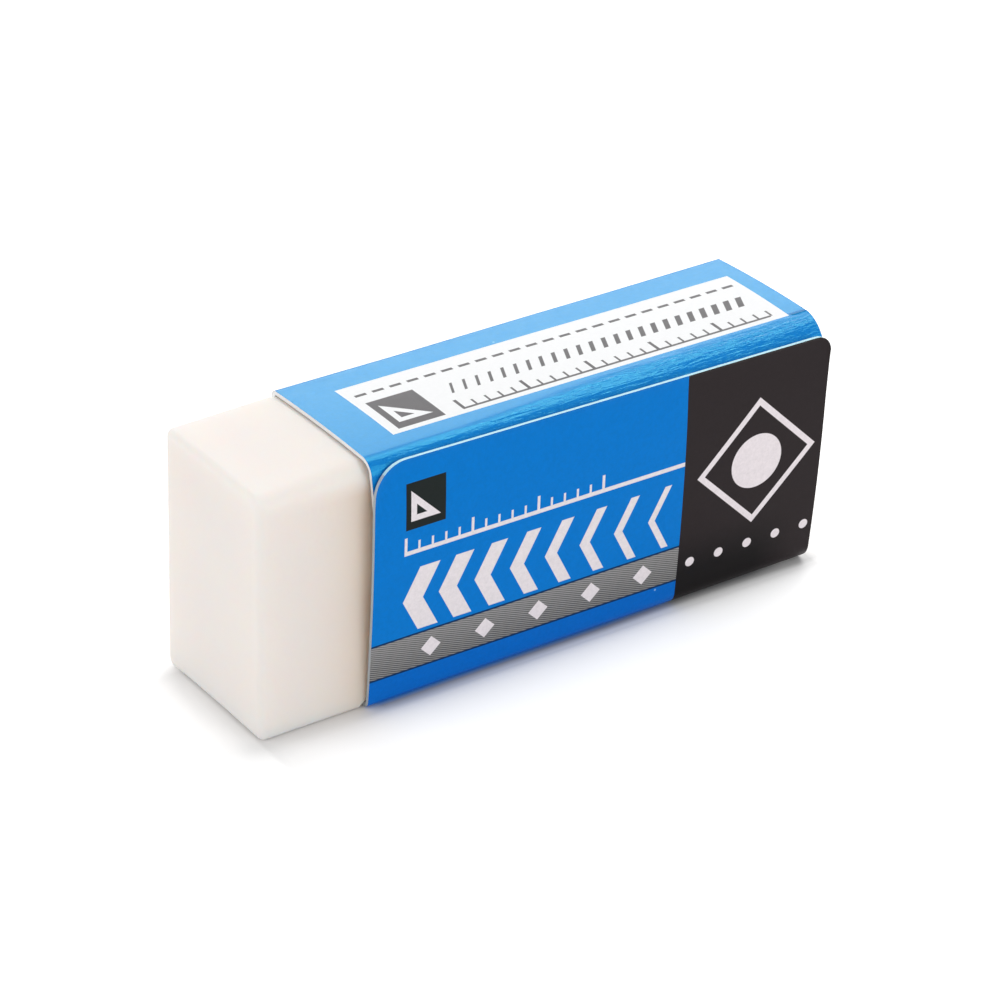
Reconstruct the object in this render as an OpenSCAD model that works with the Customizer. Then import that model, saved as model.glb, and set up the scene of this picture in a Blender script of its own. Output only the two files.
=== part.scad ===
// Rubber eraser: a soft white block in a folded card sleeve that slides along it.
// Millimetres. +X runs along the block, away from its bare end. +Y runs to the back, +Z up.
// The origin is under the middle of the whole, on the surface that the sleeve stands on.

/* [Eraser block] */
// Length of the block, along X
block_l = 43; // [36:0.5:70]
// Depth of the block, front to back
block_d = 11; // [8:0.5:16]
// Height of the block as it stands
block_h = 17; // [12:0.5:24]
// Radius on three of the long edges
block_edge_r = 0.5; // [0.3:0.1:1.2]
// Radius on the long edge under the sleeve's soft fold
block_fold_edge_r = 1; // [0.8:0.1:2]
// Radius on the edges of the two cut ends
block_end_r = 0.3; // [0.1:0.1:0.8]

/* [Card sleeve] */
// Length of the sleeve, flush with the block's far end
sleeve_l = 35; // [20:0.5:36]
// Thickness of the card
card_t = 0.3; // [0.2:0.02:0.4]
// Air between the card and the block, on each side
slide_gap = 0.05; // [0.03:0.01:0.15]
// Outer radius of the three creased folds
crease_r = 0.6; // [0.5:0.05:0.9]
// Outer radius of the soft fold at the front top edge
soft_fold_r = 1.6; // [1:0.1:2.4]

/* [Arched panels] */
// Radius to which the top panel is arched
crown_r = 110; // [60:5:300]
// Distance of the arch's crest behind the front of the sleeve
crown_crest = 3; // [2.5:0.1:5]
// Radius to which the front panel is bowed
bow_r = 150; // [100:5:400]
// Height of the bow's crest
bow_crest = 13; // [8:0.5:15]

/* [Glued lap] */
// Length of the glue flap, down from the top of the sleeve
flap_h = 9.5; // [4:0.5:11]
// Depth to which the flap is pressed into the back of the front panel
glue_press = 0.02; // [0.01:0.005:0.04]
// Drop of the front panel's top edge below the top of the sleeve
lap_drop = 0.45; // [0.2:0.05:1.2]
// Radius of the front panel's top corner over the bare end
lap_corner_r = 2.3; // [0.5:0.1:3]
// Radius of the front panel's other top corner
lap_far_corner_r = 1.1; // [0.5:0.1:3]

/* [Hidden] */

// Chords stay this close to the true arcs of the card
arc_tolerance = 0.002;
// Segments of the block's rounded edges and the lap's corners
$fn = 64;
// Reach of a cutting profile past what it cuts
past = 1;

// The section lies in a plane of [depth, height], from the bow's crest and the standing surface.
block_low = card_t + slide_gap;
block_top = block_low + block_h;
block_front = slide_gap + max(
    bow_depth(2 * card_t - glue_press, block_top - block_fold_edge_r),
    bow_depth(2 * card_t - glue_press, block_top - flap_h),
    bow_depth(card_t, block_low + block_edge_r));
sleeve_d = block_front + block_d + slide_gap + card_t;
sleeve_top = block_top + slide_gap + card_t + crown_sag(block_front + block_d - block_edge_r);

// Centres of the two arched panels and of the four folds
bow_centre = [bow_r, bow_crest];
crown_centre = [crown_crest, sleeve_top - crown_r];
front_low_centre = [bow_r - leg(bow_r - crease_r, bow_crest - crease_r), crease_r];
back_low_centre = [sleeve_d - crease_r, crease_r];
back_top_centre = [sleeve_d - crease_r,
    crown_centre.y + leg(crown_r - crease_r, sleeve_d - crease_r - crown_crest)];
soft_fold_centre = meet(
    crown_centre, crown_r - soft_fold_r,
    bow_centre, bow_r - card_t + glue_press - soft_fold_r);

// Directions in which one arc of the card hands over to the next
bow_low_turn = heading(bow_centre, front_low_centre);
crown_back_turn = heading(crown_centre, back_top_centre);
crown_front_turn = heading(crown_centre, soft_fold_centre);
flap_top_turn = heading(bow_centre, soft_fold_centre);
flap_end_turn = bow_turn(sleeve_top - flap_h);
lap_top = sleeve_top - lap_drop;

// Ends of the pieces along X
block_left = -block_l / 2;
sleeve_left = block_l / 2 - sleeve_l;

// The other leg of a right-angled triangle
function leg(long, short) = sqrt(long * long - short * short);
// Direction from one point to another, from 0 to 360
function heading(from, to) = (atan2(to.y - from.y, to.x - from.x) + 360) % 360;
// Where two circles meet, on the left of the way from the first centre to the second
function meet(a, ra, b, rb) =
    let (d = norm(b - a), way = (b - a) / d, along = (ra * ra - rb * rb + d * d) / (2 * d))
    a + along * way + leg(ra, along) * [-way.y, way.x];
// Depth of a bowed face, where it lies a given way inside the panel's outer face
function bow_depth(inset, height) = bow_r - leg(bow_r - inset, height - bow_crest);
// Direction from the bow's centre to its face at a height
function bow_turn(height) = 180 - asin((height - bow_crest) / bow_r);
// Fall of the crowned panel's inner face from its crest
function crown_sag(depth) = crown_r - card_t - leg(crown_r - card_t, depth - crown_crest);
// Points along an arc
function arc(centre, r, from, to) =
    let (
        step = 2 * acos(1 - arc_tolerance / r),
        n = ceil(abs(to - from) / step))
    [for (i = [0:n]) let (a = from + (to - from) * i / n) centre + r * [cos(a), sin(a)]];
function backwards(points) = [for (i = [len(points) - 1:-1:0]) points[i]];

// One face of the folded strip, a given way inside its outer face, from the flap's end
// over the top and the back to the bottom fold at the front
function strip_face(inset) = concat(
    arc(bow_centre, bow_r - card_t + glue_press - inset, flap_end_turn, flap_top_turn),
    arc(soft_fold_centre, soft_fold_r - inset, flap_top_turn, crown_front_turn),
    arc(crown_centre, crown_r - inset, crown_front_turn, crown_back_turn),
    arc(back_top_centre, crease_r - inset, crown_back_turn, 0),
    arc(back_low_centre, crease_r - inset, 0, -90),
    arc(front_low_centre, crease_r - inset, 270, bow_low_turn));
// One face of the bowed front panel, from its top edge down
function panel_face(inset) = arc(bow_centre, bow_r - inset, bow_turn(lap_top), bow_low_turn);

// A flat sheet shape in [depth, height], drawn out along X
module along_x(left, length) {
    translate([left, -sleeve_d / 2, 0])
        rotate([90, 0, 90])
            linear_extrude(length)
                children();
}

// What rounding takes off a square corner at the origin
module corner_waste(r) {
    difference() {
        translate([-past, -past])
            square(r + past);
        translate([r, r])
            circle(r);
    }
}

// A rectangle from the origin, with the radii of its two low corners and then of its two high ones
module rounded_rect(size, radii) {
    difference() {
        square(size);
        for (far = [0, 1], high = [0, 1])
            translate([far * size.x, high * size.y])
                scale([1 - 2 * far, 1 - 2 * high])
                    corner_waste(radii[far + 2 * high]);
    }
}

// Outline of the block from above or from the front, with the small radius of its cut ends
module end_outline(width) {
    r = block_end_r;
    rounded_rect([block_l, width], [r, r, r, r]);
}

module eraser_block() {
    color("white")
        intersection() {
            along_x(block_left, block_l)
                translate([block_front, block_low])
                    rounded_rect(
                        [block_d, block_h],
                        [block_edge_r, block_edge_r, block_fold_edge_r, block_edge_r]);
            translate([block_left, block_front - sleeve_d / 2, 0])
                linear_extrude(block_top + past)
                    end_outline(block_d);
            translate([block_left, sleeve_d / 2, block_low])
                rotate([90, 0, 0])
                    linear_extrude(sleeve_d)
                        end_outline(block_h);
        }
}

// The strip from its glue flap round the block to the front panel's lower fold
module wrapped_strip() {
    along_x(sleeve_left, sleeve_l)
        polygon(concat(strip_face(0), backwards(strip_face(card_t))));
}

// Outline of the front panel seen from the front, with its two rounded top corners
module lap_outline() {
    upright = max(lap_corner_r, lap_far_corner_r);
    square([sleeve_l, lap_top - upright]);
    translate([lap_corner_r, 0])
        square([sleeve_l - lap_corner_r - lap_far_corner_r, lap_top]);
    for (end = [[lap_corner_r, 0], [lap_far_corner_r, 1]]) {
        r = end[0];
        translate([end[1] * (sleeve_l - r), 0])
            square([r, lap_top - r]);
        translate([end[1] * (sleeve_l - 2 * r) + r, lap_top - r])
            circle(r);
    }
}

// The bowed front panel, glued over the flap
module front_panel() {
    intersection() {
        along_x(sleeve_left, sleeve_l)
            polygon(concat(panel_face(0), backwards(panel_face(card_t))));
        translate([sleeve_left, sleeve_d / 2, 0])
            rotate([90, 0, 0])
                linear_extrude(sleeve_d + past)
                    lap_outline();
    }
}

module card_sleeve() {
    color("dodgerblue") {
        wrapped_strip();
        front_panel();
    }
}

eraser_block();
card_sleeve();
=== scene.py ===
"""A soft white eraser block in a folded, printed card sleeve, on a pale floor in soft studio light.

Sizes in the tables below are millimetres. Everything that goes into Blender is in metres.
The sleeve's section lies in a plane of [depth, height]: depth runs back from the front panel's
crest, height up from the floor. The length coordinate runs from the block's bare end.
"""

import math

import bpy
import numpy as np
from mathutils import Matrix, Vector, noise


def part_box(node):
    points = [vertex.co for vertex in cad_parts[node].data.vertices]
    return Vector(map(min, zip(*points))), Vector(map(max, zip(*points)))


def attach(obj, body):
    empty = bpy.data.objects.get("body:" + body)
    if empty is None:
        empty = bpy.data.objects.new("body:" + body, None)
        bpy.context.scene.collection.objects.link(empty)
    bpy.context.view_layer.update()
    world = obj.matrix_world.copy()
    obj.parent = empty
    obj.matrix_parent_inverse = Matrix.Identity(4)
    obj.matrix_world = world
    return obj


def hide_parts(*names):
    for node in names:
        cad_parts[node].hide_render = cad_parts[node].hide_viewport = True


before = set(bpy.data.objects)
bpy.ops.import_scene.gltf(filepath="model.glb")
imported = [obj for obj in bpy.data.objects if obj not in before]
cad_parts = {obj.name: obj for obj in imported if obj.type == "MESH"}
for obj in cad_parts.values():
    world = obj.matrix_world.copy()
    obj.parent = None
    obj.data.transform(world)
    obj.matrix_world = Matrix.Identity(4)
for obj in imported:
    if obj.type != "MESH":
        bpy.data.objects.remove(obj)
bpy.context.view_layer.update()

MM = 0.001

# Places that the frame gives, in millimetres
block_low, block_high = (np.array(corner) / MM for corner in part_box("eraser_block"))
sleeve_low, sleeve_high = (np.array(corner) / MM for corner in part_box("card_sleeve"))
LENGTH_AT = block_low[0]
DEPTH_AT = sleeve_low[1]
BLOCK_LENGTH, BLOCK_DEPTH = (block_high - block_low)[:2]
BLOCK_MIDDLE = (block_low[1] + block_high[1]) / 2 - DEPTH_AT
SLEEVE_DEPTH = sleeve_high[1] - sleeve_low[1]

# Camera, as the photograph was taken
CAMERA_AZIMUTH, CAMERA_ELEVATION, CAMERA_ROLL = -34.67, 30.55, 1.65
CAMERA_DISTANCE = 307.9
CAMERA_AIM = (-0.09, 0.0, 8.46)
CAMERA_LENS, SENSOR_WIDTH = 171.7, 36.0

# Card sleeve
CARD = 0.3
GLUE_PRESS = 0.02
LEFT_CUT = 7.9
CREASE_R = 0.5
# The back top crease grows crisper between these shares of the sleeve's length
CRISPER_AT, BACK_TOP_CREASE_R = (0.25, 0.6), (0.5, 0.3)
# How far the back bulges out at the far end
BACK_BULGE = 0.25
LOW_BOW_R, HIGH_BOW_R, BOW_CREST = 150.0, 60.0, 13.0
CROWN_CREST = 3.0
FLAP_END_HEIGHT = 8.5
LAP_CORNER_R, LAP_FAR_CORNER_R = 2.3, 1.1
# Values that change along the sleeve: at the left cut, at the right cut
CROWN_TOP = (18.06, 17.86)
CROWN_R = (125.0, 105.0)
FRONT_FOLD_R = (0.62, 1.4)
LAP_TOP = (17.86, 17.36)
# Outer radius of the soft fold at shares of the sleeve's length from its left cut
SOFT_FOLD_AT, SOFT_FOLD_R = (0, 0.2, 0.5, 1), (1.15, 1.25, 2.2, 2.5)


def between(pair, share):
    """The value at a share of the way from the first of a pair to the second."""
    return pair[0] + (pair[1] - pair[0]) * share


def soft_fold_r(share):
    return float(np.interp(share, SOFT_FOLD_AT, SOFT_FOLD_R))


def leg(long, short):
    return math.sqrt(long * long - short * short)


def heading(start, end):
    """Direction from one point to another, in degrees from 0 to 360."""
    return math.degrees(math.atan2(end[1] - start[1], end[0] - start[0])) % 360


def meet(a, reach_a, b, reach_b):
    """Where two circles meet, on the left of the way from the first centre to the second."""
    a, b = np.array(a), np.array(b)
    apart = np.linalg.norm(b - a)
    way = (b - a) / apart
    along = (reach_a**2 - reach_b**2 + apart**2) / (2 * apart)
    return a + along * way + leg(reach_a, along) * np.array([-way[1], way[0]])


def arc(centre, radius, start, stop, steps):
    """Points along an arc and the directions out of it, both as rows of [depth, height]."""
    turn = np.radians(np.linspace(start, stop, steps + 1))
    out = np.stack([np.cos(turn), np.sin(turn)], 1)
    return np.array(centre) + radius * out, out


def line(start, end, out, steps):
    share = np.linspace(0, 1, steps + 1)[:, None]
    return np.array(start) * (1 - share) + np.array(end) * share, np.tile(out, (steps + 1, 1))


# Edges of the printed fields: the label on the top, and the black field
LABEL_LENGTH, LABEL_DEPTH = (10.95, 41.6), (2.8, 9.65)
BLACK_FROM = 31.62

# Rows of the card's mesh in each stretch of the strip, from the glue flap's end to the lap's edge
STRETCHES = {
    "flap_low": 12,
    "flap_high": 12,
    "soft_fold": 18,
    "top_front": 4,
    "label": 22,
    "top_back": 8,
    "back_top_fold": 8,
    "back": 40,
    "back_low_fold": 8,
    "bottom": 26,
    "front_fold": 10,
    "panel_low": 38,
    "panel_high": 22,
}


def section(share, lap_top):
    """The strip's outer face at a share of the sleeve's length: points and directions out."""
    steps = STRETCHES
    soft_r = soft_fold_r(share)
    crown_r = between(CROWN_R, share)
    fold_r = between(FRONT_FOLD_R, share)
    inset = CARD - GLUE_PRESS
    low_bow, high_bow = (LOW_BOW_R, BOW_CREST), (HIGH_BOW_R, BOW_CREST)
    crown = (CROWN_CREST, between(CROWN_TOP, share) - crown_r)
    soft = meet(crown, crown_r - soft_r, high_bow, HIGH_BOW_R - inset - soft_r)
    depth = SLEEVE_DEPTH + BACK_BULGE * share**3
    back_low = (depth - CREASE_R, CREASE_R)
    crease_r = float(np.interp(share, CRISPER_AT, BACK_TOP_CREASE_R))
    back_top_y = depth - crease_r
    back_top = (back_top_y, crown[1] + leg(crown_r - crease_r, back_top_y - CROWN_CREST))
    front = (LOW_BOW_R - leg(LOW_BOW_R - fold_r, BOW_CREST - fold_r), fold_r)
    crown_back, crown_front = heading(crown, back_top), heading(crown, soft)
    label_front, label_back = (math.degrees(math.acos((y - CROWN_CREST) / crown_r)) for y in LABEL_DEPTH)
    flap_top, panel_low = heading(high_bow, soft), heading(low_bow, front)
    flap_end = 180 + math.degrees(math.asin((BOW_CREST - FLAP_END_HEIGHT) / LOW_BOW_R))
    panel_top = 180 - math.degrees(math.asin((lap_top - BOW_CREST) / HIGH_BOW_R))
    runs = [
        arc(low_bow, LOW_BOW_R - inset, flap_end, 180, steps["flap_low"]),
        arc(high_bow, HIGH_BOW_R - inset, 180, flap_top, steps["flap_high"]),
        arc(soft, soft_r, flap_top, crown_front, steps["soft_fold"]),
        arc(crown, crown_r, crown_front, label_front, steps["top_front"]),
        arc(crown, crown_r, label_front, label_back, steps["label"]),
        arc(crown, crown_r, label_back, crown_back, steps["top_back"]),
        arc(back_top, crease_r, crown_back, 0, steps["back_top_fold"]),
        line((depth, back_top[1]), (depth, CREASE_R), (1, 0), steps["back"]),
        arc(back_low, CREASE_R, 0, -90, steps["back_low_fold"]),
        line((back_low[0], 0), (front[0], 0), (0, -1), steps["bottom"]),
        arc(front, fold_r, 270, panel_low, steps["front_fold"]),
        arc(low_bow, LOW_BOW_R, panel_low, 180, steps["panel_low"]),
        arc(high_bow, HIGH_BOW_R, 180, panel_top, steps["panel_high"]),
    ]
    points = np.concatenate([runs[0][0][:1]] + [p[1:] for p, out in runs])
    outs = np.concatenate([runs[0][1][:1]] + [out[1:] for p, out in runs])
    return points, outs


# Where the right cut crosses the start of each stretch, along the length. It wasn't cut quite square.
RIGHT_CUT = {
    "flap_low": 42.5,
    "soft_fold": 42.75,
    "top_front": 43.0,
    "back_top_fold": 42.8,
    "bottom": 42.7,
    "front_fold": 42.52,
    "panel_low": 42.56,
    "end": 42.98,
}
# How far the left cut lies further in at the start of each stretch, so that the flap's cut is hidden
LEFT_CUT_INSET = {"flap_low": 0.3, "flap_high": 0.3, "soft_fold": 0.0, "end": 0.0}
LEFT_CUT_REACH = 3.0
CELL = 0.36
CORNER_STEPS, FAR_CORNER_STEPS = 12, 7
# Column at which the inked part of the lap's edge begins
LAP_EDGE_FROM = 5
# How far the lap's edge stands off, and the height over which that fades
LIFT, LIFT_REACH = 0.11, 0.8
WAVE, WAVE_SIZE = 0.015, 9.0
# Cut edges: how far the print is drawn in, depths of the rows of points, and how ragged they are
CUT_ROUND = 0.035
CUT_DEPTHS = (0.04, 0.12, 0.2, 0.27)
FRAY, FRAY_SIZE = 0.05, 0.26
# Width and margin of the map on which the strip lies flat
MAP_WIDTH, MAP_MARGIN = 74.0, 1.5


def stretch_starts():
    """Row of the card's mesh at which each stretch begins, and the last row."""
    starts, row = {}, 0
    for name, steps in STRETCHES.items():
        starts[name] = row
        row += steps
    return starts | {"end": row}


def column_places():
    """Lengths at which the card's mesh has columns: at the fields' edges, and close at the lap's corners."""
    near = LAP_CORNER_R * (1 - np.cos(np.radians(np.linspace(0, 90, CORNER_STEPS + 1))))
    far = LAP_FAR_CORNER_R * (1 - np.cos(np.radians(np.linspace(90, 0, FAR_CORNER_STEPS + 1))))
    places = [LEFT_CUT + near]
    stops = (LABEL_LENGTH[0], BLACK_FROM, LABEL_LENGTH[1], RIGHT_CUT["end"] - LAP_FAR_CORNER_R)
    for stop in stops:
        start = places[-1][-1]
        places.append(np.linspace(start, stop, math.ceil((stop - start) / CELL) + 1)[1:])
    places.append(RIGHT_CUT["end"] - far[1:])
    return np.concatenate(places)


def lap_height(share):
    """Height of the front panel's top edge, which drops at its two rounded corners."""
    length = RIGHT_CUT["end"] - LEFT_CUT
    top, near, far = between(LAP_TOP, share), share * length, (1 - share) * length
    for along, r in ((near, LAP_CORNER_R), (far, LAP_FAR_CORNER_R)):
        if along < r:
            top -= r - leg(r, r - along)
    return top


def sheet_points():
    """The card's outer face as a grid of [row, column] points in section coordinates, with its normals."""
    starts = stretch_starts()
    places = column_places()
    rows = np.arange(starts["end"] + 1)
    right_cut, left_inset = (
        np.interp(rows, [starts[name] for name in table], list(table.values()))
        for table in (RIGHT_CUT, LEFT_CUT_INSET)
    )
    points = np.zeros((len(rows), len(places), 3))
    outs = np.zeros_like(points)
    last_field = LABEL_LENGTH[1]
    for column, place in enumerate(places):
        share = (place - LEFT_CUT) / (RIGHT_CUT["end"] - LEFT_CUT)
        lap_top = lap_height(share)
        face, out = section(share, lap_top)
        past_fields = max(place - last_field, 0) / (RIGHT_CUT["end"] - last_field)
        near_left = max(1 - (place - LEFT_CUT) / LEFT_CUT_REACH, 0)
        points[:, column, 0] = (
            min(place, last_field) + past_fields * (right_cut - last_field) + near_left * left_inset
        )
        points[:, column, 1:] = face
        outs[:, column, 1:] = out
        panel = rows >= starts["panel_high"]
        lift = LIFT * np.exp((face[:, 1] - lap_top) / LIFT_REACH) * panel
        points[:, column, 1] -= lift
    for row, column in np.ndindex(points.shape[:2]):
        wave = noise.noise(Vector(points[row, column]) / WAVE_SIZE) * WAVE
        points[row, column] += outs[row, column] * wave
    return points, outs


def rim(rows, columns):
    """The grid's border, once round, as (row, column) pairs."""
    return (
        [(row, 0) for row in range(rows)]
        + [(rows - 1, column) for column in range(1, columns)]
        + [(row, columns - 1) for row in range(rows - 2, -1, -1)]
        + [(0, column) for column in range(columns - 2, 0, -1)]
    )


def way_out(points, outs, border):
    """At each border point, the direction that leads out of the sheet in its own plane."""
    ring = np.array([points[place] for place in border])
    along = np.roll(ring, -1, 0) - np.roll(ring, 1, 0)
    ways = np.cross(along, np.array([outs[place] for place in border]))
    return ways / np.linalg.norm(ways, axis=1)[:, None]


def to_frame(points):
    """Section coordinates in millimetres to the shared frame in metres."""
    return (np.asarray(points) + (LENGTH_AT, DEPTH_AT, 0)) * MM


def new_piece(name, vertices, faces, materials, face_materials=None):
    mesh = bpy.data.meshes.new(name)
    mesh.from_pydata([tuple(v) for v in vertices], [], faces)
    for material in materials:
        mesh.materials.append(material)
    if face_materials is not None:
        mesh.polygons.foreach_set("material_index", face_materials)
    mesh.polygons.foreach_set("use_smooth", [True] * len(mesh.polygons))
    mesh.update()
    piece = bpy.data.objects.new(name, mesh)
    bpy.context.scene.collection.objects.link(piece)
    return piece


def print_on(stretch, place):
    """Name of the printed field that covers a stretch of the strip at a place along the length."""
    dark = "black" if place > BLACK_FROM else "blue"
    if stretch == "label" and LABEL_LENGTH[0] < place < LABEL_LENGTH[1]:
        return "label"
    if stretch in ("top_front", "label", "top_back", "back_top_fold", "flap_low", "flap_high"):
        return "top"
    if stretch == "soft_fold":
        return "fold"
    return f"back_{dark}" if stretch == "back" else f"front_{dark}"


def make_sleeve(prints):
    """The folded sleeve: an outer face with the print, a bare inner face and cut edges of card all round."""
    points, outs = sheet_points()
    rows, columns = points.shape[:2]
    border = rim(rows, columns)
    ways = way_out(points, outs, border)
    flat_along = points[..., 0] - LEFT_CUT
    steps = np.linalg.norm(np.diff(points[:, columns // 2], axis=0), axis=1)
    flat_up = np.concatenate([[0], np.cumsum(steps)])

    outer = points.copy()
    inner = points - outs * CARD
    for place, way in zip(border, ways):
        outer[place] -= way * CUT_ROUND
    vertices = [outer.reshape(-1, 3), inner.reshape(-1, 3)]
    inner_from = rows * columns
    edge_from = 2 * rows * columns
    for depth in CUT_DEPTHS:
        level = []
        for place, way in zip(border, ways):
            at = points[place] - outs[place] * depth
            fray = noise.noise(Vector(at) / FRAY_SIZE) * FRAY
            level.append(at + way * fray)
        vertices.append(np.array(level))
    vertices = np.concatenate(vertices)

    faces, kinds, flats = [], [], []
    slots = {name: number for number, name in enumerate(prints)}
    panel_from = stretch_starts()["front_fold"]
    row_stretches = [name for name, count in STRETCHES.items() for row in range(count)]
    places = column_places()
    middles = (places[1:] + places[:-1]) / 2

    def flat(row, column, mirrored=False):
        u, v = flat_along[row, column] + MAP_MARGIN, flat_up[row] + MAP_MARGIN
        return (MAP_WIDTH - u if mirrored else u) / MAP_WIDTH, v / MAP_WIDTH

    for row in range(rows - 1):
        for column in range(columns - 1):
            corners = [(row, column), (row, column + 1), (row + 1, column + 1), (row + 1, column)]
            numbers = [r * columns + c for r, c in corners]
            faces.append(numbers[::-1])
            kinds.append(slots[print_on(row_stretches[row], middles[column])])
            flats += [flat(*corner) for corner in corners[::-1]]
            faces.append([inner_from + n for n in numbers])
            kinds.append(slots["bare"])
            flats += [flat(*corner, mirrored=True) for corner in corners]

    outer_rim = [r * columns + c for r, c in border]
    levels = [outer_rim]
    for number in range(len(CUT_DEPTHS)):
        levels.append([edge_from + number * len(border) + k for k in range(len(border))])
    levels.append([inner_from + n for n in outer_rim])
    depths = [0, *CUT_DEPTHS, CARD]
    flat_ways = np.array([
        ((column == columns - 1) - (column == 0), (row == rows - 1) - (row == 0))
        for row, column in border
    ])
    for upper, lower, high, low in zip(levels, levels[1:], depths, depths[1:]):
        for k in range(len(border)):
            after = (k + 1) % len(border)
            faces.append([upper[k], upper[after], lower[after], lower[k]])
            row, column = border[k]
            on_lap = row == rows - 1 == border[after][0] and column > LAP_EDGE_FROM
            on_panel = row >= panel_from and column <= LAP_EDGE_FROM
            kinds.append(slots["lap_edge" if on_lap else "panel_cut" if on_panel else "bare"])
            for corner, depth in ((k, high), (after, high), (after, low), (k, low)):
                base = np.array(flat(*border[corner]))
                flats.append(tuple(base + flat_ways[corner] * depth / MAP_WIDTH))
    sleeve = new_piece("folded_sleeve", to_frame(vertices), faces, prints.values(), kinds)
    layer = sleeve.data.uv_layers.new(name="OFBake")
    layer.uv.foreach_set("vector", np.array(flats, np.float32).ravel())
    return sleeve


# Eraser block
BLOCK_CELL = 0.45
# Distances from an edge at which the block's mesh has points
BLOCK_EDGE_POINTS = (0, 0.06, 0.14, 0.25, 0.4, 0.6, 0.85, 1.15, 1.5, 1.9)
# Radii of the long edges by side and height: at the bare end, at the sleeve's cut and at the far end
BLOCK_EDGE_R = {
    (-1, -1): (0.25, 0.32, 1.25),
    (1, -1): (0.5, 0.5, 0.6),
    (-1, 1): (1.1, 1.3, 2.1),
    (1, 1): (0.3, 0.3, 0.4),
}
BLOCK_END_R, BLOCK_END_STEPS = 0.55, 7
# Height of the bare end's top and foot. The sleeve grips the block from here on.
BARE_TOP, BARE_FOOT = 17.42, 0.02
GRIP_FROM, GRIP_CELL = 7.4, 0.08
# How far the top swells where it leaves the sleeve
SWELL = 0.13
# Air between the block and the sleeve's top and bottom
TOP_AIR, FOOT_AIR = 0.04, 0.05
# How far the cut at the bare end runs out at the back. It wasn't cut quite square.
END_SKEW, END_SKEW_REACH = 0.24, 4.0
# Depth and size of the waves of its faces, which only sink in
BLOCK_WAVE, BLOCK_WAVE_SIZE = 0.03, 7.0


def graded(size):
    """Places across a face, in halves of its size from -1 to 1, close together at the two edges."""
    near = np.array(BLOCK_EDGE_POINTS)
    between_edges = size - 2 * near[-1]
    middle = near[-1] + np.linspace(0, between_edges, round(between_edges / BLOCK_CELL) + 1)[1:-1]
    return np.concatenate([near, middle, size - near[::-1]]) / size * 2 - 1


def covered(place, start=0.0):
    """0 up to a place along the block, 1 from the sleeve's cut on, with a smooth change between."""
    share = min(max((place - start) / (LEFT_CUT - start), 0), 1)
    return share * share * (3 - 2 * share)


def edge_radii(place):
    """Radius of each long edge at a place along the block."""
    stops = (0, LEFT_CUT, BLOCK_LENGTH)
    return {edge: float(np.interp(place, stops, radii)) for edge, radii in BLOCK_EDGE_R.items()}


def squeezed(places, depths, heights):
    """Heights of the block's points after the bare end has swollen and the sleeve has shaped the rest."""
    share = np.clip((places - LEFT_CUT) / (BLOCK_LENGTH - LEFT_CUT), 0, 1)
    crown_r = between(CROWN_R, share)
    crown = between(CROWN_TOP, share) - CARD - TOP_AIR - (depths - CROWN_CREST) ** 2 / (2 * crown_r)
    gripped = np.array([covered(place) for place in places])
    lifted = np.array([covered(place, GRIP_FROM) for place in places])
    top = between((BARE_TOP, crown), gripped) + SWELL * gripped * (1 - lifted)
    foot = between((BARE_FOOT, CARD + FOOT_AIR), lifted)
    return foot + (heights - block_low[2]) / (block_high[2] - block_low[2]) * (top - foot)


def rounded(spots, half, radii):
    """Points on a rectangle's border, moved onto its rounded corners."""
    moved = spots.copy()
    for edge, r in radii.items():
        centre = (half - r) * edge
        corner = ((spots - centre) * edge > 0).all(1)
        away = spots[corner] - centre
        moved[corner] = centre + away * (r / np.linalg.norm(away, axis=1))[:, None]
    return moved


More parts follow.
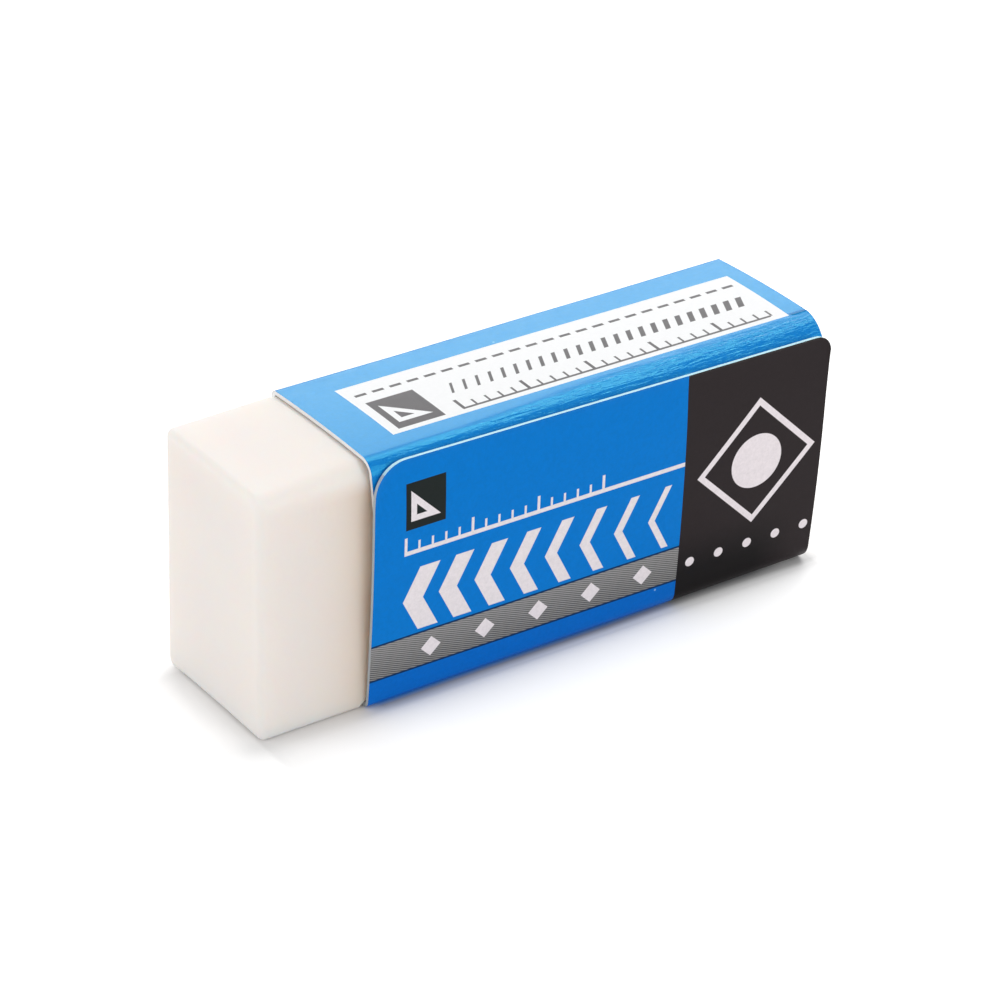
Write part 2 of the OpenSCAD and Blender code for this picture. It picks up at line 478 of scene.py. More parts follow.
def make_block(vinyl):
    """The block: rounded sections along the length, closed by two cut ends."""
    half = (block_high[1:] - block_low[1:]) / 2
    middle = np.array([block_low[1] - DEPTH_AT, block_low[2]]) + half
    across, up = graded(half[0] * 2), graded(half[1] * 2)
    border = rim(len(up), len(across))
    square = np.array([(across[column], up[row]) for row, column in border]) * half

    turn = np.radians(np.linspace(0, 90, BLOCK_END_STEPS + 1))
    end_at = BLOCK_END_R * (1 - np.cos(turn))
    end_inset = BLOCK_END_R * (1 - np.sin(turn))
    stops = (
        (BLOCK_END_R, GRIP_FROM, BLOCK_CELL),
        (GRIP_FROM, LEFT_CUT, GRIP_CELL),
        (LEFT_CUT, BLOCK_LENGTH - BLOCK_END_R, BLOCK_CELL),
    )
    body = np.concatenate([
        np.linspace(start, stop, round((stop - start) / cell) + 1)[1:] for start, stop, cell in stops
    ])[:-1]
    places = np.concatenate([end_at, body, BLOCK_LENGTH - end_at[::-1]])
    insets = np.concatenate([end_inset, 0 * body, end_inset[::-1]])

    vertices, faces = [], []
    for place, inset in zip(places, insets):
        ring = rounded(square, half, edge_radii(place)) * ((half - inset) / half) + middle
        vertices += [(place, *point) for point in ring]
    around = len(border)
    for ring in range(len(places) - 1):
        for k in range(around):
            after = (k + 1) % around
            first, second = ring * around, (ring + 1) * around
            faces.append([first + k, second + k, second + after, first + after])

    for place, ring in ((0, 0), (BLOCK_LENGTH, len(places) - 1)):
        numbers = {spot: ring * around + k for k, spot in enumerate(border)}
        radii = edge_radii(place)
        for row, column in np.ndindex(len(up) - 2, len(across) - 2):
            toward = np.array([across[column + 1], up[row + 1]])
            share = max(abs(toward).max(), 1e-6)
            edge = rounded((toward / share * half)[None], half, radii)[0]
            numbers[row + 1, column + 1] = len(vertices)
            vertices.append((place, *(edge * share * ((half - BLOCK_END_R) / half) + middle)))
        for row, column in np.ndindex(len(up) - 1, len(across) - 1):
            corners = [(row, column), (row, column + 1), (row + 1, column + 1), (row + 1, column)]
            face = [numbers[corner] for corner in corners]
            faces.append(face if place else face[::-1])
    vertices = np.array(vertices)
    backness = (vertices[:, 1] - middle[0] + half[0]) / (2 * half[0])
    near_end = np.clip(1 - vertices[:, 0] / END_SKEW_REACH, 0, 1)
    vertices[:, 2] = squeezed(*vertices.T)
    vertices[:, 0] -= END_SKEW * near_end * backness**3
    block = new_piece("vinyl_block", to_frame(vertices), faces, [vinyl])
    mesh = block.data
    for vertex, normal in zip(mesh.vertices, [v.normal.copy() for v in mesh.vertices]):
        wave = noise.noise(vertex.co / MM / BLOCK_WAVE_SIZE) - 1
        vertex.co += normal * wave * BLOCK_WAVE * MM / 2
    mesh.update()
    return block


class Field:
    """A number that varies over a surface, as a node's output, with plain arithmetic."""

    def __init__(self, tree, socket):
        self.tree, self.socket = tree, socket

    def node(self, operation, *others):
        made = self.tree.nodes.new("ShaderNodeMath")
        made.operation = operation
        for slot, value in zip(made.inputs, (self, *others)):
            if isinstance(value, Field):
                self.tree.links.new(value.socket, slot)
            else:
                slot.default_value = value
        return Field(self.tree, made.outputs[0])

    def __add__(self, other):
        return self.node("ADD", other)

    def __sub__(self, other):
        return self.node("SUBTRACT", other)

    def __mul__(self, other):
        return self.node("MULTIPLY", other)

    def __truediv__(self, other):
        return self.node("DIVIDE", other)

    def __abs__(self):
        return self.node("ABSOLUTE")

    def floor(self):
        return self.node("FLOOR")

    def most(self, other):
        return self.node("MAXIMUM", other)

    def least(self, other):
        return self.node("MINIMUM", other)

    def wrapped(self, low, high):
        return self.node("WRAP", high, low)

    def held(self, low=0.0, high=1.0):
        return self.most(low).least(high)


def followed(field, places, values):
    """A field's value on a line through points, flat beyond them."""
    total = values[0]
    for start, stop, low, high in zip(places, places[1:], values, values[1:]):
        total = ((field - start) / (stop - start)).held() * (high - low) + total
    return total


INK_EDGE = 0.03


def inside(distance):
    """1 where a distance in millimetres is negative, 0 where it is positive, with a thin soft edge."""
    return (distance * (-1 / INK_EDGE) + 0.5).held()


def disc(x, y, r):
    return (x * x + y * y).node("SQRT") - r


def rectangle(x, y, half_x, half_y):
    return (abs(x) - half_x).most(abs(y) - half_y)


def diamond(x, y, reach):
    return (abs(x) + abs(y) - reach) * math.sqrt(0.5)


def outlined(distance, stroke):
    """The outline of a shape, drawn inside its edge."""
    return abs(distance + stroke / 2) - stroke / 2


def set_square(x, y, leg_length):
    """A right-angled triangle with its right angle at the lower left."""
    half = leg_length / 2
    slope = (x + y) * math.sqrt(0.5)
    return (x * -1 - half).most(y * -1 - half).most(slope)


def new_material(name):
    material = bpy.data.materials.new(name)
    material.use_nodes = True
    tree = material.node_tree
    shader = tree.nodes["Principled BSDF"]
    return material, tree, shader


def place_on(tree):
    """The three coordinates of the surface in millimetres: length, depth and height."""
    coordinates = tree.nodes.new("ShaderNodeTexCoord")
    parts = tree.nodes.new("ShaderNodeSeparateXYZ")
    tree.links.new(coordinates.outputs["Object"], parts.inputs[0])
    x, y, z = (Field(tree, parts.outputs[n]) * (1 / MM) for n in range(3))
    return x - LENGTH_AT, y - DEPTH_AT, z


def grain(tree, size, detail=2.0, stretch=(1, 1, 1), roughness=0.5):
    """Noise with a grain of that many millimetres, as a Field from 0 to 1."""
    coordinates = tree.nodes.new("ShaderNodeTexCoord")
    mapping = tree.nodes.new("ShaderNodeMapping")
    for axis, factor in enumerate(stretch):
        mapping.inputs["Scale"].default_value[axis] = factor / (size * MM)
    texture = tree.nodes.new("ShaderNodeTexNoise")
    texture.inputs["Scale"].default_value = 1
    texture.inputs["Detail"].default_value = detail
    texture.inputs["Roughness"].default_value = roughness
    tree.links.new(coordinates.outputs["Object"], mapping.inputs["Vector"])
    tree.links.new(mapping.outputs[0], texture.inputs["Vector"])
    return Field(tree, texture.outputs["Fac"])


def mixed(tree, colour, ink, mask):
    """One colour over another where the mask is 1. Each is a node's output or four numbers."""
    mix = tree.nodes.new("ShaderNodeMix")
    mix.data_type = "RGBA"
    for slot, value in ((6, colour), (7, ink)):
        if isinstance(value, tuple):
            mix.inputs[slot].default_value = value
        else:
            tree.links.new(value, mix.inputs[slot])
    tree.links.new(mask.socket, mix.inputs[0])
    return mix.outputs[2]


def bump(tree, shader, height, depth):
    """Relief of that many millimetres from a field's 0 to its 1."""
    node = tree.nodes.new("ShaderNodeBump")
    node.inputs["Strength"].default_value = 1
    node.inputs["Distance"].default_value = depth * MM
    tree.links.new(height.socket, node.inputs["Height"])
    tree.links.new(node.outputs[0], shader.inputs["Normal"])


def srgb(red, green, blue):
    """A colour given as a screen shows it, 0 to 255, as Blender's linear numbers."""
    def linear(value):
        value /= 255
        return value / 12.92 if value <= 0.04045 else ((value + 0.055) / 1.055) ** 2.4
    return linear(red), linear(green), linear(blue), 1.0


# The low blue and low black are painted shade, darker towards the bottom of the printed panels
BLUE_INK, LOW_SHADED_BLUE_INK = srgb(0, 121, 212), srgb(0, 106, 205)
BLACK_INK, LOW_SHADED_BLACK_INK = srgb(37, 28, 30), srgb(14, 9, 11)
WHITE_INK = srgb(242, 233, 236)
GREY_INK, GREY_HATCH_INK = srgb(161, 157, 157), srgb(86, 84, 84)
DARK_GREY_INK = srgb(84, 82, 84)
LABEL_WHITE = srgb(240, 241, 242)
STRIPE_LINE_INK = srgb(12, 44, 92)
SPECK = srgb(150, 200, 240)
CARD_CORE, CARD_FIBRE = srgb(247, 248, 248), srgb(222, 224, 224)
# Cut edges that took up a little ink: the lap's top edge, and the front panel's left cut
LAP_CORE, LAP_FIBRE = srgb(206, 246, 255), srgb(180, 226, 246)
PANEL_CORE, PANEL_FIBRE = srgb(196, 206, 214), srgb(168, 182, 194)
# Colour of the coat's gloss over each ink, its strength on front and back and on the top, its roughness
BLUE_GLOSS, FOLD_GLOSS, CLEAR_GLOSS = (0.1, 1, 0.82, 1), (0.14, 1, 0.88, 1), (1, 1, 1, 1)
SIDE_GLOSS, TOP_GLOSS = 0.2, 1.0
COAT_ROUGH = 0.3
# Grain of the coated card: mottled colour, with less of it on the label, and patches of another roughness
MOTTLE_SIZE, MOTTLING, LABEL_MOTTLING = 0.28, 0.34, 0.1
PATCH_SIZE, PATCH_ROUGH = 0.5, 0.12
# Relief of its paper, and the depth in millimetres that a relief of 1 stands for
PAPER_SIZE, PAPER_RELIEF, RELIEF_DEPTH = 0.16, 0.12, 0.03
# Specks: width of the cells that hold one each, share of cells without, size, and how much they show
SPECK_PITCH, SPECK_RARITY, SPECK_SIZE, SPECK_SHOWN = 1.7, 0.86, 0.55, 0.7

# Front print, as [length, height]
STRIPE, STRIPE_LINE = (2.12, 4.77), 0.07
HATCH_PITCH, HATCH_SLOPE = 0.15, 0.25
# Half widths of the hatch lines at the stripe's low and high edge, as shares of the pitch
HATCH_HALF = (0.33, 0.15)
BAND_LEFT, BAND_MIDDLE, BAND_HEIGHT = 10.1, 7.45, 4.7
CHEVRON_PITCH, CHEVRON_SLOPE, CHEVRONS = 2.62, 0.52, 8
CHEVRON_WIDE, CHEVRON_THINNER = 1.5, 0.14
RULE_LEFT, RULE_HEIGHT, RULE_STROKE = 10.1, 11.05, 0.3
TICKS_LEFT, TICKS_RIGHT = RULE_LEFT + 0.1, 26.1
# Each kind of tick as its pitch, height and stroke
TICKS = ((1.0, 0.75, 0.16), (5.0, 1.15, 0.2))
DOT_LEFT, DOT_PITCH, DOTS, DOT_HEIGHT, DOT_R = 32.62, 2.32, 5, 3.24, 0.35
STUD_LEFT, STUD_PITCH, STUDS, STUD_REACH = 12.4, 4.1, 5, 0.75
EMBLEM_AT, EMBLEM_SIZE = (11.65, 14.4), (2.95, 3.35)
EMBLEM_LEG, EMBLEM_STROKE = 2.2, 0.42
MARK_AT, MARK_REACH, MARK_STROKE, MARK_DISC_R = (37.45, 9.55), 4.75, 0.42, 2.0
# Heights over which the painted shade on the black ground's lower part fades, and lengths over which it ends
BLACK_SHADE_AT, BLACK_SHADE_END = (2.5, 5.5), (38, 41)

# Print on the label, as [length, depth]
DASH_LEFT, DASH_PITCH, DASHES, DASH_DEPTH, DASH_HALF = 12.0, 1.3, 23, 8.25, (0.42, 0.14)
BAR_LEFT, BAR_PITCH, BARS, BAR_DEPTH, BAR_TALL = 17.4, 0.98, 24, 6.0, 0.62
BAR_SLANT, BAR_HALF, BAR_THICKER = 0.45, 0.1, 0.006
SCALE_MIDDLE, SCALE_DEPTH, SCALE_HALF, SCALE_TICKS_AT = 28.5, 3.35, (12.0, 0.1), (16.6, 40.6)
SCALE_TICKS = ((1.0, 0.75, 0.16), (5.0, 1.2, 0.24))
BADGE_AT, BADGE_HALF, BADGE_LEG, BADGE_STROKE = (13.4, 5.2), (1.75, 1.95), 2.5, 0.45


def repeated(x, start, pitch, count):
    """x measured from the nearest of a row of equal places, and the number of that place."""
    number = ((x - start) / pitch + 0.5).floor().held(0, count - 1)
    return x - start - number * pitch, number


def chevrons(x, z):
    """A row of bold arrow heads that point to the bare end and grow thinner away from it."""
    tall = abs(z - BAND_MIDDLE)
    along = x - tall * CHEVRON_SLOPE
    near, number = repeated(along, BAND_LEFT + CHEVRON_WIDE / 2, CHEVRON_PITCH, CHEVRONS)
    half = number * (-CHEVRON_THINNER / 2) + CHEVRON_WIDE / 2
    return (abs(near) - half).most(tall - BAND_HEIGHT / 2)


def ruler(x, z, left, right, base, ticks):
    """Ticks up from a line. Each kind of tick is its pitch, height and stroke."""
    distance = None
    for pitch, tall, stroke in ticks:
        near, _ = repeated(x, left, pitch, int((right - left) // pitch) + 1)
        tick = rectangle(near, z - (base + tall / 2), stroke / 2, tall / 2)
        distance = tick if distance is None else distance.least(tick)
    return distance


def flat_colour(tree, colour):
    node = tree.nodes.new("ShaderNodeRGB")
    node.outputs[0].default_value = colour
    return node.outputs[0]


def printed_over(tree, colour, ink, shapes):
    for shape in shapes:
        colour = mixed(tree, colour, ink, inside(shape))
    return colour


def specks(tree, colour):
    """A few tiny pale specks of dust and missing ink."""
    coordinates = tree.nodes.new("ShaderNodeTexCoord")
    cells = tree.nodes.new("ShaderNodeTexVoronoi")
    cells.inputs["Scale"].default_value = 1 / (SPECK_PITCH * MM)
    cells.inputs["Randomness"].default_value = 1
    tree.links.new(coordinates.outputs["Object"], cells.inputs["Vector"])
    parts = tree.nodes.new("ShaderNodeSeparateColor")
    tree.links.new(cells.outputs["Color"], parts.inputs[0])
    size = (Field(tree, parts.outputs[0]) - SPECK_RARITY) * SPECK_SIZE
    spot = inside((Field(tree, cells.outputs["Distance"]) - size) * SPECK_PITCH)
    return mixed(tree, colour, SPECK, spot * SPECK_SHOWN)


def finish_print(
    tree, shader, colour, gloss, strength=SIDE_GLOSS, relief=None, roughness=COAT_ROUGH, mottling=MOTTLING
):
    """The coated card: a satin coat over faint paper grain."""
    mottle = grain(tree, MOTTLE_SIZE, 4, roughness=0.75)
    shade = (mottle - 0.5) * mottling + 1
    scale = tree.nodes.new("ShaderNodeMix")
    scale.data_type = "RGBA"
    scale.blend_type = "MULTIPLY"
    scale.inputs[0].default_value = 1
    tint = tree.nodes.new("ShaderNodeCombineColor")
    for slot in range(3):
        tree.links.new(shade.socket, tint.inputs[slot])
    tree.links.new(colour, scale.inputs[6])
    tree.links.new(tint.outputs[0], scale.inputs[7])
    tree.links.new(scale.outputs[2], shader.inputs["Base Color"])
    rough = grain(tree, PATCH_SIZE, 2) * PATCH_ROUGH + roughness
    tree.links.new(rough.socket, shader.inputs["Roughness"])
    shader.inputs["Specular IOR Level"].default_value = strength
    shader.inputs["Specular Tint"].default_value = gloss
    height = grain(tree, PAPER_SIZE, 3, roughness=0.6) * PAPER_RELIEF
    if relief is not None:
        height = height + relief
    bump(tree, shader, height, RELIEF_DEPTH)


def striped_blue(tree, x, z):
    """Blue ground, darker with painted shade below the hatched grey stripe, whose lines grow thinner
    upwards.
    """
    low, high = STRIPE
    middle, half = (low + high) / 2, (high - low) / 2
    from_middle = abs(z - middle)
    line_middle = abs((z + x * HATCH_SLOPE).wrapped(-HATCH_PITCH / 2, HATCH_PITCH / 2))
    hatch = inside(line_middle - followed(z, STRIPE, HATCH_HALF) * HATCH_PITCH)
    grey = mixed(tree, GREY_INK, GREY_HATCH_INK, hatch)
    # Painted shade: deeper blue below the stripe's middle
    ground = specks(tree, mixed(tree, BLUE_INK, LOW_SHADED_BLUE_INK, inside(z - middle)))
    colour = mixed(tree, ground, grey, inside(from_middle - half))
    return printed_over(tree, colour, STRIPE_LINE_INK, [abs(from_middle - half) - STRIPE_LINE])


def front_blue():
    material, tree, shader = new_material("front_blue_print")
    x, _, z = place_on(tree)
    rule_half = (BLACK_FROM - RULE_LEFT) / 2
    near_stud, _ = repeated(x, STUD_LEFT, STUD_PITCH, STUDS)
    colour = printed_over(tree, striped_blue(tree, x, z), WHITE_INK, [
        chevrons(x, z),
        rectangle(x - (RULE_LEFT + rule_half), z - RULE_HEIGHT, rule_half, RULE_STROKE / 2),
        ruler(x, z, TICKS_LEFT, TICKS_RIGHT, RULE_HEIGHT, TICKS),
        diamond(near_stud, z - sum(STRIPE) / 2, STUD_REACH),
    ])
    x, z = x - EMBLEM_AT[0], z - EMBLEM_AT[1]
    colour = printed_over(tree, colour, BLACK_INK, [rectangle(x, z, EMBLEM_SIZE[0] / 2, EMBLEM_SIZE[1] / 2)])
    colour = printed_over(tree, colour, WHITE_INK, [outlined(set_square(x, z, EMBLEM_LEG), EMBLEM_STROKE)])
    finish_print(tree, shader, colour, BLUE_GLOSS)
    return material


def front_black():
    material, tree, shader = new_material("front_black_print")
    x, _, z = place_on(tree)
    near_dot, _ = repeated(x, DOT_LEFT, DOT_PITCH, DOTS)
    mark_x, mark_z = x - MARK_AT[0], z - MARK_AT[1]
    # Painted shade: the black ground darkens towards the bottom, except near the far end
    low = followed(z, BLACK_SHADE_AT, (1, 0)) * followed(x, BLACK_SHADE_END, (1, 0))
    ground = mixed(tree, BLACK_INK, LOW_SHADED_BLACK_INK, low)
    colour = printed_over(tree, ground, WHITE_INK, [
        disc(near_dot, z - DOT_HEIGHT, DOT_R),
        outlined(diamond(mark_x, mark_z, MARK_REACH), MARK_STROKE),
        disc(mark_x, mark_z, MARK_DISC_R),
    ])
    finish_print(tree, shader, colour, CLEAR_GLOSS)
    return material


def back_blue():
    material, tree, shader = new_material("back_blue_print")
    x, _, z = place_on(tree)
    finish_print(tree, shader, striped_blue(tree, x, z), BLUE_GLOSS)
    return material


def back_black():
    material, tree, shader = new_material("back_black_print")
    finish_print(tree, shader, flat_colour(tree, BLACK_INK), CLEAR_GLOSS)
    return material


def top_blue():
    material, tree, shader = new_material("top_blue_print")
    finish_print(tree, shader, specks(tree, flat_colour(tree, BLUE_INK)), BLUE_GLOSS, TOP_GLOSS)
    return material


# Depth of the fold's start, less its radius, and the way over which its wrinkles set in
FOLD_START, FOLD_SETS_IN = 0.35, 0.6
# Wrinkles: how each kind of streak is drawn out, how high it stands, and what the far end adds to that
LONG_STREAK, LONG_RELIEF = (0.13, 1.7, 1.7), 3.0
SHORT_STREAK, SHORT_RELIEF, FAR_RELIEF = (0.6, 5.0, 5.0), 1.5, 1.5
# How much smoother the coat is there
FOLD_SMOOTHER = 0.08


def fold_blue():
    """The soft fold, whose coat is wrinkled into long and short streaks."""
    material, tree, shader = new_material("fold_blue_print")
    x, y, _ = place_on(tree)
    stops = [LEFT_CUT + share * (RIGHT_CUT["end"] - LEFT_CUT) for share in SOFT_FOLD_AT]
    start = followed(x, stops, [r + FOLD_START for r in SOFT_FOLD_R])
    set_in = ((start - y) / FOLD_SETS_IN).held()
    long_streaks = (grain(tree, 1.0, 1, LONG_STREAK) - 0.5) * LONG_RELIEF
    far = (x / BLOCK_LENGTH).held()
    short_grain = grain(tree, 1.0, 2, SHORT_STREAK, roughness=0.65)
    short_streaks = (short_grain - 0.5) * (far * far * FAR_RELIEF + SHORT_RELIEF)
    ink = specks(tree, flat_colour(tree, BLUE_INK))
    relief = (long_streaks + short_streaks) * set_in
    roughness = set_in * -FOLD_SMOOTHER + COAT_ROUGH
    finish_print(tree, shader, ink, FOLD_GLOSS, TOP_GLOSS, relief, roughness)
    return material


def label_print():
    """The white label: a dashed line, a row of slanted bars that thicken and a scale in millimetres."""
    material, tree, shader = new_material("label_print")
    x, y, _ = place_on(tree)
    near_dash, _ = repeated(x, DASH_LEFT, DASH_PITCH, DASHES)
    near_bar, number = repeated(x - (y - BAR_DEPTH) * BAR_SLANT, BAR_LEFT, BAR_PITCH, BARS)
    bar_half = number * BAR_THICKER + BAR_HALF
    colour = printed_over(tree, flat_colour(tree, LABEL_WHITE), DARK_GREY_INK, [
        rectangle(near_dash, y - DASH_DEPTH, *DASH_HALF),
        (abs(near_bar) - bar_half).most(abs(y - BAR_DEPTH) - BAR_TALL),
        rectangle(x - SCALE_MIDDLE, y - SCALE_DEPTH, *SCALE_HALF),
        ruler(x, y, *SCALE_TICKS_AT, SCALE_DEPTH, SCALE_TICKS),
        rectangle(x - BADGE_AT[0], y - BADGE_AT[1], *BADGE_HALF),
    ])
    triangle = set_square(x - BADGE_AT[0], y - BADGE_AT[1], BADGE_LEG)
    colour = printed_over(tree, colour, LABEL_WHITE, [outlined(triangle, BADGE_STROKE)])
    finish_print(tree, shader, colour, CLEAR_GLOSS, mottling=LABEL_MOTTLING)
    return material


# Fibres of bare card: their grain, the level from which they show, and how strongly they do
FIBRE_SIZE, FIBRE_FROM, FIBRE_CONTRAST = 0.12, 0.35, 1.2
CARD_ROUGH, FIBRE_ROUGH = 0.75, 0.15


def bare_card(name, core, fibre):
    """Uncoated card, of that colour and with fibres of another."""
    material, tree, shader = new_material(name)
    fibres = grain(tree, FIBRE_SIZE, 4, roughness=0.7)
    colour = mixed(tree, core, fibre, (fibres - FIBRE_FROM) * FIBRE_CONTRAST)
    tree.links.new(colour, shader.inputs["Base Color"])
    rough = fibres * FIBRE_ROUGH + CARD_ROUGH
    tree.links.new(rough.socket, shader.inputs["Roughness"])
    bump(tree, shader, fibres, RELIEF_DEPTH)
    return material


VINYL, VINYL_CLOUD, CLOUD_SIZE = srgb(247, 240, 234), srgb(243, 236, 232), 6.0
VINYL_GLOSS, VINYL_ROUGH, DULL_SIZE, DULL_ROUGH = 0.35, 0.48, 0.8, 0.12
PORE_SIZE, PORE_DEPTH = 0.35, 0.012
# Share of the light that goes in, how far its red, green and blue go, as shares of a reach in millimetres
SCATTER, SCATTER_BY_COLOUR, SCATTER_REACH = 0.7, (1.0, 0.72, 0.55), 2.2
# Painted shade on the block beside the sleeve's cut, tan and darker towards it: most below a height, least
# on its top
CUT_SHADE, CUT_SHADE_REACH, CUT_SHADE_TAN = 0.52, 2.2, srgb(214, 176, 132)
CUT_SHADE_BELOW, CUT_SHADE_FADES, CUT_SHADE_LEAST = 17.2, 0.7, 0.2


def white_vinyl():
    """Soft vinyl that lets light in, with painted shade, darker and warmer, beside the sleeve's cut."""
    material, tree, shader = new_material("white_vinyl")
    x, _, z = place_on(tree)
    colour = mixed(tree, VINYL, VINYL_CLOUD, grain(tree, CLOUD_SIZE, 2))
    # Painted shade: a tan band beside the sleeve's cut, weaker on the top face
    below = ((z - CUT_SHADE_BELOW) * -CUT_SHADE_FADES).held(CUT_SHADE_LEAST, 1)
    cut_shade = (abs(x - LEFT_CUT) * (-1 / CUT_SHADE_REACH)).node("EXPONENT") * CUT_SHADE * below
    colour = mixed(tree, colour, CUT_SHADE_TAN, cut_shade)
    tree.links.new(colour, shader.inputs["Base Color"])
    shader.inputs["Specular IOR Level"].default_value = VINYL_GLOSS
    shader.inputs["Subsurface Weight"].default_value = SCATTER
    shader.inputs["Subsurface Radius"].default_value = SCATTER_BY_COLOUR
    shader.inputs["Subsurface Scale"].default_value = SCATTER_REACH * MM
    rough = grain(tree, DULL_SIZE, 3) * DULL_ROUGH + VINYL_ROUGH
    tree.links.new(rough.socket, shader.inputs["Roughness"])
    bump(tree, shader, grain(tree, PORE_SIZE, 3, roughness=0.6), PORE_DEPTH)
    return material


def add_camera():
    azimuth, elevation, roll = (
        math.radians(v) for v in (CAMERA_AZIMUTH, CAMERA_ELEVATION, CAMERA_ROLL)
    )
    back = Vector((
        math.sin(azimuth) * math.cos(elevation),
        -math.cos(azimuth) * math.cos(elevation),
        math.sin(elevation),
    ))
    level = Vector((0, 0, 1)).cross(back).normalized()
    upright = back.cross(level)
    right = level * math.cos(roll) + upright * math.sin(roll)
    up = upright * math.cos(roll) - level * math.sin(roll)
    camera = bpy.data.objects.new("camera", bpy.data.cameras.new("camera"))
    camera.data.lens, camera.data.sensor_width = CAMERA_LENS, SENSOR_WIDTH
    place = (Vector(CAMERA_AIM) + back * CAMERA_DISTANCE) * MM
    camera.matrix_world = Matrix.Translation(place) @ Matrix((right, up, back)).transposed().to_4x4()
    camera.data.clip_start, camera.data.clip_end = 0.01, 20
    bpy.context.scene.collection.objects.link(camera)
    bpy.context.scene.camera = camera


# Soft lamps: place and size in metres, and brightness. They all face one point.
LAMPS_AIM = (0, 0, 0.01)
LAMPS = {
    "softbox_above": ((0.32, 0.11, 0.556), (0.3, 0.16), 5.5),
    "softbox_behind": ((0.36, 0.52, 0.296), (0.5, 0.3), 3.0),
    "softbox_top": ((-0.25, 0.1, 0.8), (0.4, 0.4), 0.7),
    "softbox_left": ((-0.91, 0.33, 0.27), (0.7, 0.5), 3.0),
    "softbox_front": ((0.33, -0.91, 0.3), (0.8, 0.5), 2.6),
}


def softbox(name, place, size, radiance):
    """A rectangular soft lamp."""
    lamp = bpy.data.lights.new(name, "AREA")
    lamp.shape, lamp.size, lamp.size_y = "RECTANGLE", *size
    lamp.energy = radiance * math.pi * size[0] * size[1]
    light = bpy.data.objects.new(name, lamp)
    light.location = place
    light.rotation_mode = "QUATERNION"
    light.rotation_quaternion = (Vector(LAMPS_AIM) - Vector(place)).to_track_quat("-Z", "Y")
    bpy.context.scene.collection.objects.link(light)


WORLD_LIGHT = 0.52
FLOOR_REACH, FLOOR_ROUGH = 3.0, 0.9
# Light that the floor adds for the camera, weaker near the object so that it paints how fast the shadow
# fades:
# against the object, how much more far away, and the distance at which half of that has set in
SLEEVE_GLOW, SLEEVE_GLOW_REACH = 0.55, 0.85
BARE_END_GLOW, BARE_END_GLOW_REACH = 0.42, 1.85
# Light against the sleeve grows with the length, from 0 to this, and ends at these depths under it
SLEEVE_LEAST_AT, SLEEVE_LEAST, LEAST_ENDS_AT = (12.0, 43.0), (0.0, 0.24), (0.15, 0.7)
# Share of it that is taken off again far away
LEAST_SHARE = 0.6
# Light against the block's bare end: at its front, past its end, and behind it
BARE_FRONT_LEAST, BARE_END_LEAST, BARE_BACK_LEAST = 0.02, 0.13, 0.4
# Lengths over which its end's light gives way to its front's, and half the ways over which its back's
# light sets in and the sleeve's light takes over
BARE_FRONT_AT, BARE_BACK_BLEND, BARE_END_BLEND = (-0.1, 0.2), 1, 2
# The floor, its painted shadow by the sleeve's front foot, and that painted shadow's colours, tinted by a
# painted reflection of the blue and black print, where these touch it
FLOOR_GREY, FLOOR_PAINTED_SHADOW = (0.8, 0.8, 0.8, 1), (0.08, 0.08, 0.1, 1)
FLOOR_BLUE_PAINTED_SHADOW, FLOOR_BLACK_PAINTED_SHADOW = (0.04, 0.42, 0.92, 1), (0.27, 0.27, 0.3, 1)
# Depths over which they set in, how much the plain painted shadow does, and how far these move back along
# the length
PAINTED_SHADOW_AT, PAINTED_SHADOW_AMOUNT, TINTED_SHADOW_AT = (0, 0.55), (0, 0.5), (0.5, 1.0)
FOOT_BACK_AT, FOOT_BACK = (10, 26, 34), (0, 0.25, 0.55)
# Lengths and depths over which they end, and half the length over which blue gives way to black
FOOT_ENDS_AT, FOOT_ENDS, FOOT_DEPTHS_AT = (8, 9, 38.5, 41), (0, 1, 1, 0), (2, 4)
FOOT_BLEND = 0.5


def set_world():
    world = bpy.data.worlds.new("studio")
    bpy.context.scene.world = world
    world.use_nodes = True
    tree = world.node_tree
    ray = tree.nodes.new("ShaderNodeLightPath")
    seen = Field(tree, ray.outputs["Is Camera Ray"])
    strength = seen * (1 - WORLD_LIGHT) + WORLD_LIGHT
    tree.nodes["Background"].inputs["Color"].default_value = (1, 1, 1, 1)
    tree.links.new(strength.socket, tree.nodes["Background"].inputs["Strength"])


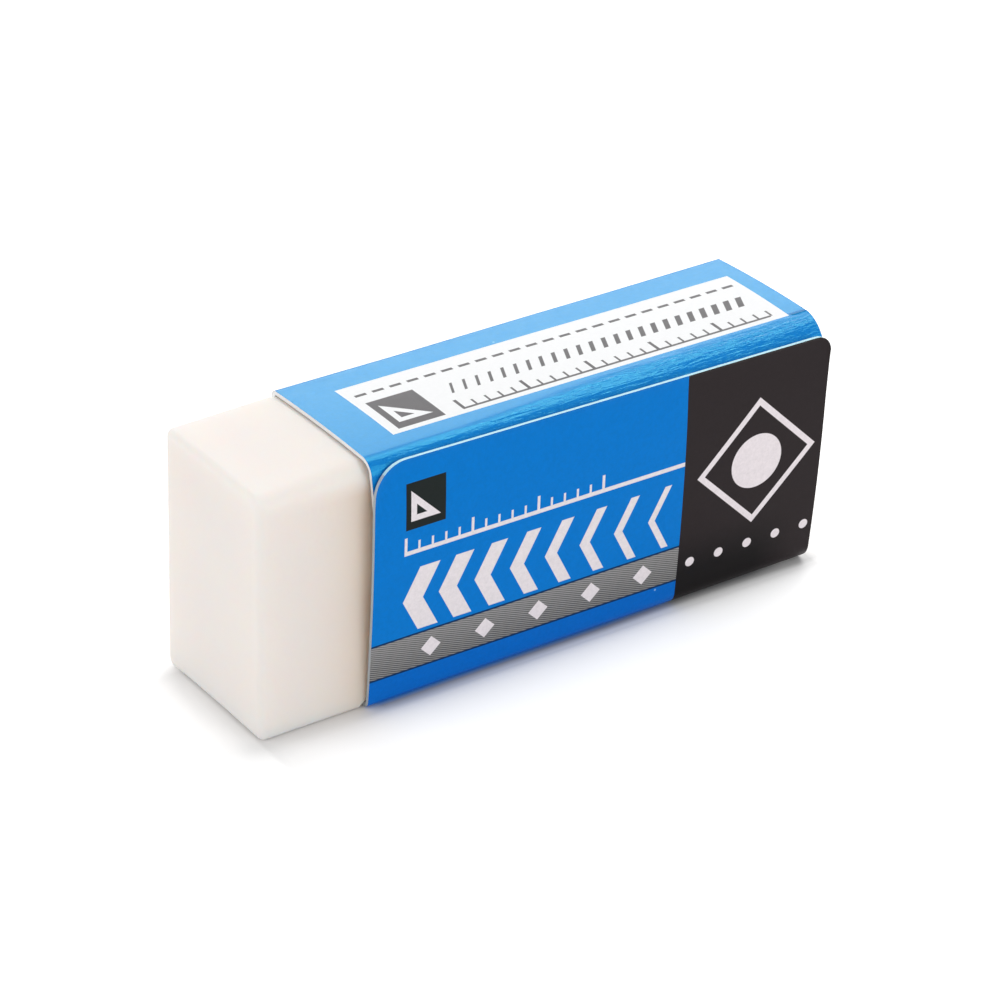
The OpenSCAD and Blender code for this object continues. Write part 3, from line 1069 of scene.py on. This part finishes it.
def make_floor():
    """A pale floor that shows as white to the camera, but for the shadow, a painted shadow tinted by a
    painted blue reflection along the sleeve's front foot, and a glow that is weaker near the object.
    """
    corners = [(x * FLOOR_REACH, y * FLOOR_REACH, 0) for x, y in ((-1, -1), (1, -1), (1, 1), (-1, 1))]
    material, tree, shader = new_material("pale_floor")
    shader.inputs["Roughness"].default_value = FLOOR_ROUGH
    shader.inputs["Emission Color"].default_value = (1, 1, 1, 1)
    x, y, _ = place_on(tree)
    # Painted shadow, tinted by a painted reflection of the print, in the floor's colour along the sleeve's
    # front foot
    foot = followed(x, FOOT_ENDS_AT, FOOT_ENDS) * followed(y, FOOT_DEPTHS_AT, (1, 0))
    depth = y - followed(x, FOOT_BACK_AT, FOOT_BACK)
    colour = mixed(tree, FLOOR_GREY, FLOOR_PAINTED_SHADOW, followed(depth, PAINTED_SHADOW_AT, PAINTED_SHADOW_AMOUNT) * foot)
    by_black = followed(x, (BLACK_FROM - FOOT_BLEND, BLACK_FROM + FOOT_BLEND), (0, 1))
    tinted_shadow = mixed(tree, FLOOR_BLUE_PAINTED_SHADOW, FLOOR_BLACK_PAINTED_SHADOW, by_black)
    colour = mixed(tree, colour, tinted_shadow, followed(depth, TINTED_SHADOW_AT, (0, 1)) * foot)
    tree.links.new(colour, shader.inputs["Base Color"])
    past_x = (abs(x - BLOCK_LENGTH / 2) - BLOCK_LENGTH / 2).most(0)
    past_sleeve = (abs(y - SLEEVE_DEPTH / 2) - SLEEVE_DEPTH / 2).most(0)
    past_block = (abs(y - BLOCK_MIDDLE) - BLOCK_DEPTH / 2).most(0)
    distance = (past_x * past_x + past_sleeve * past_sleeve).node("SQRT")
    least = followed(x, SLEEVE_LEAST_AT, SLEEVE_LEAST) * followed(y, LEAST_ENDS_AT, (1, 0))
    by_sleeve = distance / (distance + SLEEVE_GLOW_REACH) * (least * -LEAST_SHARE + SLEEVE_GLOW) + least
    away = past_x * past_x + past_block * past_block
    least = followed(x, BARE_FRONT_AT, (BARE_END_LEAST, BARE_FRONT_LEAST))
    back_at = (BLOCK_DEPTH - BARE_BACK_BLEND, BLOCK_DEPTH + BARE_BACK_BLEND)
    least = least.most(followed(y, back_at, (0, BARE_BACK_LEAST)))
    by_block = away / (away + BARE_END_GLOW_REACH**2) * BARE_END_GLOW + least
    bare_end = ((x * -1 + LEFT_CUT + BARE_END_BLEND) / (2 * BARE_END_BLEND)).held()
    glow = by_sleeve + (by_block - by_sleeve) * bare_end
    ray = tree.nodes.new("ShaderNodeLightPath")
    seen = Field(tree, ray.outputs["Is Camera Ray"]) * glow
    tree.links.new(seen.socket, shader.inputs["Emission Strength"])
    floor = new_piece("floor", corners, [[0, 1, 2, 3]], [material])


bpy.context.scene.view_settings.view_transform = "Standard"
add_camera()
set_world()
make_floor()
for name, lamp in LAMPS.items():
    softbox(name, *lamp)

prints = {
    "front_blue": front_blue(),
    "front_black": front_black(),
    "back_blue": back_blue(),
    "back_black": back_black(),
    "top": top_blue(),
    "fold": fold_blue(),
    "label": label_print(),
    "bare": bare_card("bare_card", CARD_CORE, CARD_FIBRE),
    "lap_edge": bare_card("inked_lap_edge", LAP_CORE, LAP_FIBRE),
    "panel_cut": bare_card("inked_panel_cut", PANEL_CORE, PANEL_FIBRE),
}
sleeve = make_sleeve(prints)
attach(sleeve, "sleeve")
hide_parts("card_sleeve")

block = make_block(white_vinyl())
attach(block, "block")
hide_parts("eraser_block")
